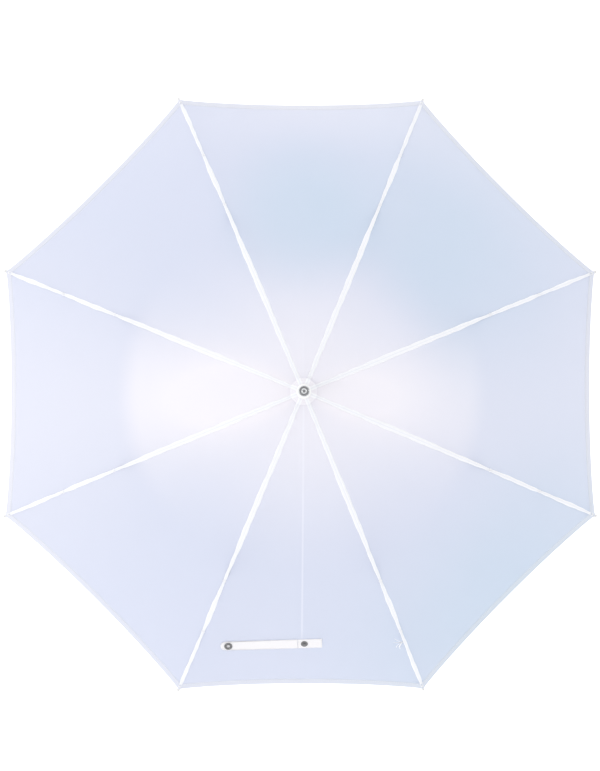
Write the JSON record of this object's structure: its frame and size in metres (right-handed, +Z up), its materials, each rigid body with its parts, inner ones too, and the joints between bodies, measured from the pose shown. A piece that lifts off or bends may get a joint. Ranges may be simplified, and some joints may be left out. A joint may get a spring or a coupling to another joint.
{
  "type": "umbrella reflector",
  "caption": "White shoot-through photographic umbrella: folding ribbed fabric canopy on a thin steel shaft with a short metal ferrule, sliding runner and snap tie strap.",
  "frame": {"origin": "centre of the shaft tube's lower end, where a bracket's socket takes the shaft", "axes": "+Z up the shaft to the ferrule, -Y towards the gore that carries the tie strap, +X to its right"},
  "size_m": [0.7758, 0.7758, 0.6402],
  "materials": {
    "canopy_fabric": "satin",
    "strap_webbing": "satin",
    "rib_steel": "gloss",
    "shaft_steel": "satin",
    "bright_metal": "polished",
    "ferrule_chrome": "polished",
    "snap_metal": "gloss",
    "white_plastic": "satin"
  },
  "bodies": {
    "root": {"shaft_tube": "shaft_steel", "shaft_end_cap": "white_plastic", "crown": "white_plastic", "crown_wire": "bright_metal", "crown_pin": "bright_metal", "stop_pin": "bright_metal", "catch_pin": "bright_metal", "crown_cap": "white_plastic", "ferrule": "ferrule_chrome"},
    "catch": {"catch_spring": "bright_metal"},
    "runner": {"runner": "white_plastic", "runner_wire": "bright_metal"},
    "strap_root": {"strap_patch": "strap_webbing", "snap_stud": "snap_metal"},
    "strap": {"strap_tail": "strap_webbing", "snap_socket": "snap_metal"},
    "rib_1": {"rib_1": "rib_steel", "rib_tip_1": "white_plastic", "joint_rivet_1": "bright_metal"},
    "stretcher_1": {"stretcher_1": "rib_steel"},
    "gore_1": {"gore_1": "canopy_fabric"},
    "rib_2": {"rib_2": "rib_steel", "rib_tip_2": "white_plastic", "joint_rivet_2": "bright_metal"},
    "stretcher_2": {"stretcher_2": "rib_steel"},
    "gore_2": {"gore_2": "canopy_fabric"},
    "rib_3": {"rib_3": "rib_steel", "rib_tip_3": "white_plastic", "joint_rivet_3": "bright_metal"},
    "stretcher_3": {"stretcher_3": "rib_steel"},
    "gore_3": {"gore_3": "canopy_fabric"},
    "rib_4": {"rib_4": "rib_steel", "rib_tip_4": "white_plastic", "joint_rivet_4": "bright_metal"},
    "stretcher_4": {"stretcher_4": "rib_steel"},
    "gore_4": {"gore_4": "canopy_fabric"},
    "rib_5": {"rib_5": "rib_steel", "rib_tip_5": "white_plastic", "joint_rivet_5": "bright_metal"},
    "stretcher_5": {"stretcher_5": "rib_steel"},
    "gore_5": {"gore_5": "canopy_fabric"},
    "rib_6": {"rib_6": "rib_steel", "rib_tip_6": "white_plastic", "joint_rivet_6": "bright_metal"},
    "stretcher_6": {"stretcher_6": "rib_steel"},
    "gore_6": {"gore_6": "canopy_fabric"},
    "rib_7": {"rib_7": "rib_steel", "rib_tip_7": "white_plastic", "joint_rivet_7": "bright_metal"},
    "stretcher_7": {"stretcher_7": "rib_steel"},
    "gore_7": {"gore_7": "canopy_fabric"},
    "rib_8": {"rib_8": "rib_steel", "rib_tip_8": "white_plastic", "joint_rivet_8": "bright_metal"},
    "stretcher_8": {"stretcher_8": "rib_steel"},
    "gore_8": {"gore_8": "canopy_fabric"}
  },
  "joints": [
    {"name": "canopy_fold", "type": "hinge", "parent": "root", "child": "rib_1", "pos_m": [0.00924, 0.00383, 0.6], "axis": [-0.3827, 0.9239, 0], "range_deg": [0, 66], "deforming": ["gore_1", "gore_2", "gore_3", "gore_4", "gore_5", "gore_6", "gore_7", "gore_8", "catch_spring"]},
    {"name": "stretcher_1_turn", "type": "hinge", "parent": "rib_1", "child": "stretcher_1", "pos_m": [0.22635, 0.09376, 0.53483], "axis": [-0.3827, 0.9239, 0], "range_deg": [-132, 0]},
    {"name": "gore_1_fold", "type": "hinge", "parent": "rib_1", "child": "gore_1", "pos_m": [0.00765, 0.00765, 0.6], "axis": [0.6063, 0.6063, 0.5145], "range_deg": [-48.13, 0]},
    {"name": "rib_2_fold", "type": "hinge", "parent": "root", "child": "rib_2", "pos_m": [0.00383, 0.00924, 0.6], "axis": [-0.9239, 0.3827, 0], "range_deg": [0, 66]},
    {"name": "stretcher_2_turn", "type": "hinge", "parent": "rib_2", "child": "stretcher_2", "pos_m": [0.09376, 0.22635, 0.53483], "axis": [-0.9239, 0.3827, 0], "range_deg": [-132, 0]},
    {"name": "gore_2_fold", "type": "hinge", "parent": "rib_2", "child": "gore_2", "pos_m": [0, 0.01082, 0.6], "axis": [0, 0.8575, 0.5145], "range_deg": [-48.13, 0]},
    {"name": "rib_3_fold", "type": "hinge", "parent": "root", "child": "rib_3", "pos_m": [-0.00383, 0.00924, 0.6], "axis": [-0.9239, -0.3827, 0], "range_deg": [0, 66]},
    {"name": "stretcher_3_turn", "type": "hinge", "parent": "rib_3", "child": "stretcher_3", "pos_m": [-0.09376, 0.22635, 0.53483], "axis": [-0.9239, -0.3827, 0], "range_deg": [-132, 0]},
    {"name": "gore_3_fold", "type": "hinge", "parent": "rib_3", "child": "gore_3", "pos_m": [-0.00765, 0.00765, 0.6], "axis": [-0.6063, 0.6063, 0.5145], "range_deg": [-48.13, 0]},
    {"name": "rib_4_fold", "type": "hinge", "parent": "root", "child": "rib_4", "pos_m": [-0.00924, 0.00383, 0.6], "axis": [-0.3827, -0.9239, 0], "range_deg": [0, 66]},
    {"name": "stretcher_4_turn", "type": "hinge", "parent": "rib_4", "child": "stretcher_4", "pos_m": [-0.22635, 0.09376, 0.53483], "axis": [-0.3827, -0.9239, 0], "range_deg": [-132, 0]},
    {"name": "gore_4_fold", "type": "hinge", "parent": "rib_4", "child": "gore_4", "pos_m": [-0.01082, 0, 0.6], "axis": [-0.8575, 0, 0.5145], "range_deg": [-48.13, 0]},
    {"name": "rib_5_fold", "type": "hinge", "parent": "root", "child": "rib_5", "pos_m": [-0.00924, -0.00383, 0.6], "axis": [0.3827, -0.9239, 0], "range_deg": [0, 66]},
    {"name": "stretcher_5_turn", "type": "hinge", "parent": "rib_5", "child": "stretcher_5", "pos_m": [-0.22635, -0.09376, 0.53483], "axis": [0.3827, -0.9239, 0], "range_deg": [-132, 0]},
    {"name": "gore_5_fold", "type": "hinge", "parent": "rib_5", "child": "gore_5", "pos_m": [-0.00765, -0.00765, 0.6], "axis": [-0.6063, -0.6063, 0.5145], "range_deg": [-48.13, 0]},
    {"name": "rib_6_fold", "type": "hinge", "parent": "root", "child": "rib_6", "pos_m": [-0.00383, -0.00924, 0.6], "axis": [0.9239, -0.3827, 0], "range_deg": [0, 66]},
    {"name": "stretcher_6_turn", "type": "hinge", "parent": "rib_6", "child": "stretcher_6", "pos_m": [-0.09376, -0.22635, 0.53483], "axis": [0.9239, -0.3827, 0], "range_deg": [-132, 0]},
    {"name": "gore_6_fold", "type": "hinge", "parent": "rib_6", "child": "gore_6", "pos_m": [0, -0.01082, 0.6], "axis": [0, -0.8575, 0.5145], "range_deg": [-48.13, 0]},
    {"name": "strap_root_fold", "type": "hinge", "parent": "rib_6", "child": "strap_root", "pos_m": [0, -0.01082, 0.6], "axis": [0, -0.8575, 0.5145], "range_deg": [-24.07, 0]},
    {"name": "rib_7_fold", "type": "hinge", "parent": "root", "child": "rib_7", "pos_m": [0.00383, -0.00924, 0.6], "axis": [0.9239, 0.3827, 0], "range_deg": [0, 66]},
    {"name": "stretcher_7_turn", "type": "hinge", "parent": "rib_7", "child": "stretcher_7", "pos_m": [0.09376, -0.22635, 0.53483], "axis": [0.9239, 0.3827, 0], "range_deg": [-132, 0]},
    {"name": "gore_7_fold", "type": "hinge", "parent": "rib_7", "child": "gore_7", "pos_m": [0.00765, -0.00765, 0.6], "axis": [0.6063, -0.6063, 0.5145], "range_deg": [-48.13, 0]},
    {"name": "rib_8_fold", "type": "hinge", "parent": "root", "child": "rib_8", "pos_m": [0.00924, -0.00383, 0.6], "axis": [0.3827, 0.9239, 0], "range_deg": [0, 66]},
    {"name": "stretcher_8_turn", "type": "hinge", "parent": "rib_8", "child": "stretcher_8", "pos_m": [0.22635, -0.09376, 0.53483], "axis": [0.3827, 0.9239, 0], "range_deg": [-132, 0]},
    {"name": "gore_8_fold", "type": "hinge", "parent": "rib_8", "child": "gore_8", "pos_m": [0.01082, 0, 0.6], "axis": [0.8575, 0, 0.5145], "range_deg": [-48.13, 0]},
    {"name": "runner_follow", "type": "hinge", "parent": "stretcher_1", "child": "runner", "pos_m": [0.00924, 0.00383, 0.46966], "axis": [-0.3827, 0.9239, 0], "range_deg": [0, 66]},
    {"name": "strap_lift", "type": "hinge", "parent": "strap_root", "child": "strap", "pos_m": [-0.00515, -0.32108, 0.48926], "axis": [-0.0366, 0.8337, 0.551], "range_deg": [0, 140]},
    {"name": "catch_press", "type": "hinge", "parent": "root", "child": "catch", "pos_m": [0, 0, 0.38816], "axis": [0, -1, 0], "range_deg": [0, 4.2], "stiffness_Nm_per_rad": 1}
  ],
  "couplings": [
    {"joint": "stretcher_1_turn", "follows": "canopy_fold", "ratio": -2},
    {"joint": "gore_1_fold", "follows": "canopy_fold", "ratio": -0.72909},
    {"joint": "rib_2_fold", "follows": "canopy_fold", "ratio": 1},
    {"joint": "stretcher_2_turn", "follows": "canopy_fold", "ratio": -2},
    {"joint": "gore_2_fold", "follows": "canopy_fold", "ratio": -0.72909},
    {"joint": "rib_3_fold", "follows": "canopy_fold", "ratio": 1},
    {"joint": "stretcher_3_turn", "follows": "canopy_fold", "ratio": -2},
    {"joint": "gore_3_fold", "follows": "canopy_fold", "ratio": -0.72909},
    {"joint": "rib_4_fold", "follows": "canopy_fold", "ratio": 1},
    {"joint": "stretcher_4_turn", "follows": "canopy_fold", "ratio": -2},
    {"joint": "gore_4_fold", "follows": "canopy_fold", "ratio": -0.72909},
    {"joint": "rib_5_fold", "follows": "canopy_fold", "ratio": 1},
    {"joint": "stretcher_5_turn", "follows": "canopy_fold", "ratio": -2},
    {"joint": "gore_5_fold", "follows": "canopy_fold", "ratio": -0.72909},
    {"joint": "rib_6_fold", "follows": "canopy_fold", "ratio": 1},
    {"joint": "stretcher_6_turn", "follows": "canopy_fold", "ratio": -2},
    {"joint": "gore_6_fold", "follows": "canopy_fold", "ratio": -0.72909},
    {"joint": "strap_root_fold", "follows": "canopy_fold", "ratio": -0.36455},
    {"joint": "rib_7_fold", "follows": "canopy_fold", "ratio": 1},
    {"joint": "stretcher_7_turn", "follows": "canopy_fold", "ratio": -2},
    {"joint": "gore_7_fold", "follows": "canopy_fold", "ratio": -0.72909},
    {"joint": "rib_8_fold", "follows": "canopy_fold", "ratio": 1},
    {"joint": "stretcher_8_turn", "follows": "canopy_fold", "ratio": -2},
    {"joint": "gore_8_fold", "follows": "canopy_fold", "ratio": -0.72909},
    {"joint": "runner_follow", "follows": "canopy_fold", "ratio": 1}
  ]
}
